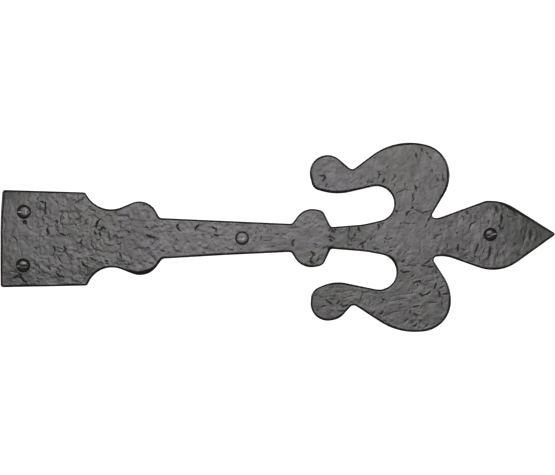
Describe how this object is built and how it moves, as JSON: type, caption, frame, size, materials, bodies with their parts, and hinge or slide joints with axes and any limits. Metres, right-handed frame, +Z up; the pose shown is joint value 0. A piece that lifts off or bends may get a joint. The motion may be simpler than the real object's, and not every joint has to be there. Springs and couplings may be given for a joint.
{
  "type": "strap hinge front",
  "caption": "Flat black strap hinge front in hand-beaten cast iron, with a square butt end, a tapering strap, a fleur-de-lis end and slotted raised-head wood screws.",
  "frame": {"origin": "on the flat back that lies on the door, on the strap's centreline, at the butt edge", "axes": "+X along the strap from the butt edge to the spear tip, +Y into the door, +Z up across the strap; the decorated face looks toward -Y"},
  "size_m": [0.4062, 0.0348, 0.1387],
  "materials": {
    "black_cast_iron": "black satin lacquer over a hammered casting",
    "black_screw": "black japanned steel, satin"
  },
  "bodies": {
    "root": {"strap_plate": "black_cast_iron", "screw_butt_upper": "black_screw", "screw_butt_lower": "black_screw", "screw_strap": "black_screw", "screw_spear": "black_screw"}
  },
  "joints": []
}
